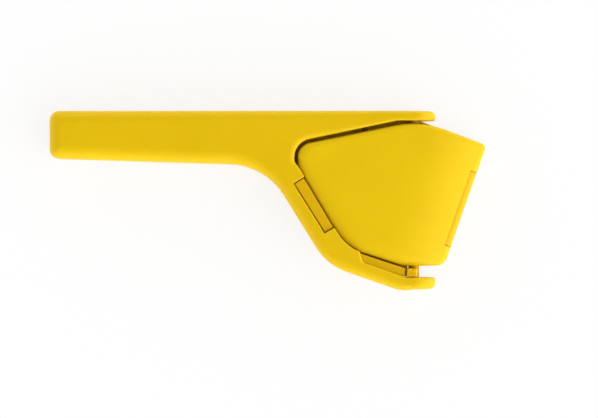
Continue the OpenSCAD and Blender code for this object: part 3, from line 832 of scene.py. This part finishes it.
def use_group(tree, name, make, feeds):
    """Places a shared group in a material with its own values."""
    return add_node(tree, "Group", {"node_tree": shared_group(name, make)}, feeds).outputs


def new_material(name):
    """Empty node material, its tree and its shader."""
    mat = bpy.data.materials.new(name)
    mat.use_nodes = True
    return mat, mat.node_tree, mat.node_tree.nodes["Principled BSDF"]


def shaded(colour, factor):
    """A colour made lighter or darker, held between black and white."""
    return (*np.clip(np.asarray(colour[:]) * factor, 0, 1), 1)


def mixed(tree, factor, first, second):
    """Colour that goes from the first to the second as the factor rises."""
    node = add_node(tree, "Mix", {"data_type": "RGBA"}, {0: factor, 6: first, 7: second})
    return node.outputs[2]


def ranged(tree, value, low, high):
    """Number that goes from low to high as the value rises from nought to one."""
    return add_node(tree, "MapRange", feeds={"Value": value, "To Min": low, "To Max": high}).outputs[0]


def nylon(name, colour, finish):
    """Satin moulded nylon: flow tint, edges painted paler as a highlight and made rougher as wear, fine
    grain and an uneven sheen.
    """
    mat, tree, shader = new_material(name)
    height, flow = use_group(tree, "moulded_grain", grain_group,
                             {0: 1 / finish.grain_size, 1: 1 / finish.flow_size})
    wear_and_highlight = use_group(tree, "edge_wear", wear_and_highlight_group, {0: finish.edge_size})[0]
    body = mixed(tree, flow, shaded(colour, 0.975), shaded(colour, 1.02))
    # Paler colour painted on the edges as a highlight.
    pale = tuple(0.85 * np.array(shaded(colour, 1.12)) + 0.15)
    worn_and_highlit = add_node(tree, "Math", {"operation": "MULTIPLY"}, {0: wear_and_highlight, 1: finish.wear_and_highlight}).outputs[0]
    # Edges are painted paler as a highlight; the same mask below also makes them rougher as wear.
    tree.links.new(mixed(tree, worn_and_highlit, body, pale), shader.inputs["Base Color"])
    sheen = ranged(tree, flow, finish.roughness - 0.04, finish.roughness + 0.04)
    rough = add_node(tree, "Math", {"operation": "MULTIPLY_ADD"}, {0: wear_and_highlight, 1: 0.12, 2: sheen}).outputs[0]
    tree.links.new(rough, shader.inputs["Roughness"])
    bump = add_node(tree, "Bump",
                    feeds={"Strength": 0.35, "Distance": finish.grain_depth, "Height": height})
    tree.links.new(bump.outputs[0], shader.inputs["Normal"])
    shader.inputs["Specular IOR Level"].default_value = 0.14
    shader.inputs["Subsurface Weight"].default_value = 0.2
    shader.inputs["Subsurface Radius"].default_value = (1.0, 0.35, 0.05)
    shader.inputs["Subsurface Scale"].default_value = 0.004
    return mat


def metal(name, colour, roughness, turn):
    """Ground steel: fine rings across the pin, and streaks of brighter and duller metal."""
    mat, tree, shader = new_material(name)
    height, streak = use_group(tree, "ground_rings", ground_group, {0: turn})
    body = mixed(tree, streak, shaded(colour, 0.85), shaded(colour, 1.1))
    tree.links.new(body, shader.inputs["Base Color"])
    tree.links.new(ranged(tree, streak, roughness - 0.08, roughness + 0.08), shader.inputs["Roughness"])
    bump = add_node(tree, "Bump", feeds={"Strength": 0.4, "Distance": 0.00002, "Height": height})
    tree.links.new(bump.outputs[0], shader.inputs["Normal"])
    shader.inputs["Metallic"].default_value = 1
    return mat


def floor_paper(tone, white):
    """Pale matt floor with a faint tooth, which shows mostly as plain white and keeps a soft shadow."""
    mat, tree, shader = new_material("floor_paper")
    height, flow = use_group(tree, "moulded_grain", grain_group, {0: 900, 1: 6})
    low_tone = tone * 0.995
    body = mixed(tree, flow, (tone, tone, tone, 1), (low_tone, low_tone, low_tone, 1))
    tree.links.new(body, shader.inputs["Base Color"])
    bump = add_node(tree, "Bump", feeds={"Strength": 0.1, "Distance": 0.00005, "Height": height})
    tree.links.new(bump.outputs[0], shader.inputs["Normal"])
    shader.inputs["Roughness"].default_value = 0.9
    shader.inputs["Specular IOR Level"].default_value = 0.0
    rays = add_node(tree, "LightPath").outputs
    seen = rays["Is Camera Ray"]
    for name in ("Is Glossy Ray", "Is Transmission Ray"):
        seen = add_node(tree, "Math", {"operation": "MAXIMUM"}, {0: seen, 1: rays[name]}).outputs[0]
    part = add_node(tree, "Math", {"operation": "MULTIPLY"}, {0: seen, 1: white}).outputs[0]
    glow = add_node(tree, "Emission", feeds={"Color": (1, 1, 1, 1), "Strength": 1}).outputs[0]
    both = add_node(tree, "MixShader", feeds={0: part, 1: shader.outputs[0], 2: glow}).outputs[0]
    tree.links.new(both, tree.nodes["Material Output"].inputs["Surface"])
    return mat


def dress(obj, material):
    """Gives an object one material."""
    obj.data.materials.clear()
    obj.data.materials.append(material)


# ---------------------------------------------------------------- stage

def build_floor(studio):
    """Flat pale floor just under the tool."""
    reach, drop_z = 3.0, -0.0001
    mesh = bpy.data.meshes.new("floor")
    corners = [(x, y, drop_z) for x, y in around(-reach, reach, -reach, reach)]
    mesh.from_pydata(corners, [], [(0, 1, 2, 3)])
    floor = bpy.data.objects.new("floor", mesh)
    bpy.context.scene.collection.objects.link(floor)
    dress(floor, floor_paper(studio.floor_tone, studio.floor_white))


def build_sky(studio):
    """World like a light tent: dim overhead, bright low down, with more light beyond the far edge.

    Its strength is the zenith's, plus the difference to the horizon times the cube of one less the
    direction's height, plus the side light times the fourth power of the nearness to the side.
    """
    world = bpy.data.worlds.new("light_tent")
    world.use_nodes = True
    bpy.context.scene.world = world
    tree = world.node_tree
    way = add_node(tree, "TexCoord").outputs["Generated"]
    up = add_node(tree, "SeparateXYZ", feeds={0: way}).outputs["Z"]
    low = add_node(tree, "MapRange", feeds={"Value": up, "To Min": 1, "To Max": 0}).outputs[0]
    steep = add_node(tree, "Math", {"operation": "POWER"}, {0: low, 1: 3}).outputs[0]
    tent = add_node(tree, "Math", {"operation": "MULTIPLY_ADD"},
                    {0: steep, 1: studio.horizon - studio.zenith, 2: studio.zenith}).outputs[0]
    turn, lift = math.radians(-32), math.radians(28)
    side = Vector((math.cos(turn) * math.cos(lift), math.sin(turn) * math.cos(lift), math.sin(lift)))
    near = add_node(tree, "VectorMath", {"operation": "DOT_PRODUCT"}, {0: way, 1: side}).outputs["Value"]
    near = add_node(tree, "Math", {"operation": "MAXIMUM"}, {0: near, 1: 0}).outputs[0]
    near = add_node(tree, "Math", {"operation": "POWER"}, {0: near, 1: 4}).outputs[0]
    total = add_node(tree, "Math", {"operation": "MULTIPLY_ADD"},
                     {0: near, 1: studio.side, 2: tent}).outputs[0]
    tree.links.new(total, tree.nodes["Background"].inputs["Strength"])
    tree.nodes["Background"].inputs["Color"].default_value = (1, 1, 1, 1)


def build_camera(studio):
    """Camera that looks straight down at the tool's front."""
    scene = bpy.context.scene
    data = bpy.data.cameras.new("camera")
    data.type = "PERSP"
    data.sensor_width = 36
    data.lens = 36 * studio.distance / studio.field
    data.clip_end = 10
    eye = bpy.data.objects.new("camera", data)
    scene.collection.objects.link(eye)
    middle_x, middle_y = 0.0171, -0.0046
    eye.location = (middle_x, middle_y, MID / 1000 + studio.distance)
    scene.camera = eye
    scene.view_settings.view_transform = "Standard"


# ---------------------------------------------------------------- operators and panel

def dress_moulding(context, obj, colour):
    """Gives a moulding its nylon, and stops the script if the moulding has no faces."""
    if len(obj.data.polygons) == 0:
        raise RuntimeError(obj.name + " has no faces")
    dress(obj, nylon(obj.name + "_nylon", colour, context.scene.squeezer_finish))


class SQUEEZER_OT_stage(bpy.types.Operator):
    """Make the floor, the light tent and the camera"""
    bl_idname = "squeezer.stage"
    bl_label = "Stage"

    def execute(self, context):
        studio = context.scene.squeezer_studio
        build_floor(studio)
        build_sky(studio)
        build_camera(studio)
        return {"FINISHED"}


class SQUEEZER_OT_front_handle(bpy.types.Operator):
    """Make the front handle with its ears, rib and catch notch"""
    bl_idname = "squeezer.front_handle"
    bl_label = "Front handle"

    def execute(self, context):
        obj = build_front_handle(context.scene.squeezer_sizes)
        smooth_piece(obj)
        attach(obj, "front_handle")
        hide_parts("front_handle")
        dress_moulding(context, obj, context.scene.squeezer_colours.handle)
        return {"FINISHED"}


class SQUEEZER_OT_press_plate(bpy.types.Operator):
    """Make the press plate with its ribs, boss and knuckles"""
    bl_idname = "squeezer.press_plate"
    bl_label = "Press plate"

    def execute(self, context):
        obj = build_press_plate(context.scene.squeezer_sizes)
        smooth_piece(obj)
        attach(obj, "press_plate")
        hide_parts("press_plate")
        dress_moulding(context, obj, context.scene.squeezer_colours.plate)
        return {"FINISHED"}


class SQUEEZER_OT_back_handle(bpy.types.Operator):
    """Make the back handle with its tray, channel, posts, barrel and tongue"""
    bl_idname = "squeezer.back_handle"
    bl_label = "Back handle"

    def execute(self, context):
        obj = build_back_handle(context.scene.squeezer_sizes)
        smooth_piece(obj)
        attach(obj, "back_handle")
        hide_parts("back_handle")
        dress_moulding(context, obj, context.scene.squeezer_colours.back)
        return {"FINISHED"}


class SQUEEZER_OT_fittings(bpy.types.Operator):
    """Give the strainer and the four pins their materials"""
    bl_idname = "squeezer.fittings"
    bl_label = "Strainer and pins"

    def execute(self, context):
        colours = context.scene.squeezer_colours
        finish = context.scene.squeezer_finish
        dress(NODES["strainer_plate"], nylon("strainer_nylon", colours.strainer, finish))
        straight = metal("ground_steel", colours.steel, 0.3, 0.0)
        slant = math.atan2(FAR_U[0], FAR_U[1])
        for name in ("upper_hinge_pin", "lower_hinge_pin"):
            dress(NODES[name], straight)
        dress(NODES["plate_hinge_pin"], metal("slanted_steel", colours.steel, 0.3, slant))
        dress(NODES["drive_pin"], metal("blackened_steel", colours.black, 0.58, 0.0))
        return {"FINISHED"}


class SQUEEZER_PT_panel(bpy.types.Panel):
    """Settings and steps of the squeezer"""
    bl_label = "Lemon squeezer"
    bl_idname = "SQUEEZER_PT_panel"
    bl_space_type = "VIEW_3D"
    bl_region_type = "UI"
    bl_category = "Squeezer"

    def draw(self, context):
        for group in GROUPS:
            box = self.layout.box()
            for name in GROUPS[group].__annotations__:
                box.prop(getattr(context.scene, group), name)
        for step in STEPS:
            self.layout.operator(step.bl_idname)


GROUPS = {
    "squeezer_sizes": SqueezerSizes,
    "squeezer_colours": SqueezerColours,
    "squeezer_finish": SqueezerFinish,
    "squeezer_studio": SqueezerStudio,
}
STEPS = (
    SQUEEZER_OT_stage,
    SQUEEZER_OT_front_handle,
    SQUEEZER_OT_press_plate,
    SQUEEZER_OT_back_handle,
    SQUEEZER_OT_fittings,
)
CLASSES = (*GROUPS.values(), *STEPS, SQUEEZER_PT_panel)


def register():
    """Registers the classes and hangs the settings on the scene."""
    for cls in CLASSES:
        bpy.utils.register_class(cls)
    for name, group in GROUPS.items():
        setattr(bpy.types.Scene, name, PointerProperty(type=group))


def unregister():
    """Takes the settings off the scene and the classes out again."""
    for name in GROUPS:
        delattr(bpy.types.Scene, name)
    for cls in reversed(CLASSES):
        bpy.utils.unregister_class(cls)


def main():
    register()
    bpy.ops.squeezer.stage()
    bpy.ops.squeezer.front_handle()
    bpy.ops.squeezer.press_plate()
    bpy.ops.squeezer.back_handle()
    bpy.ops.squeezer.fittings()


if __name__ == "__main__":
    main()
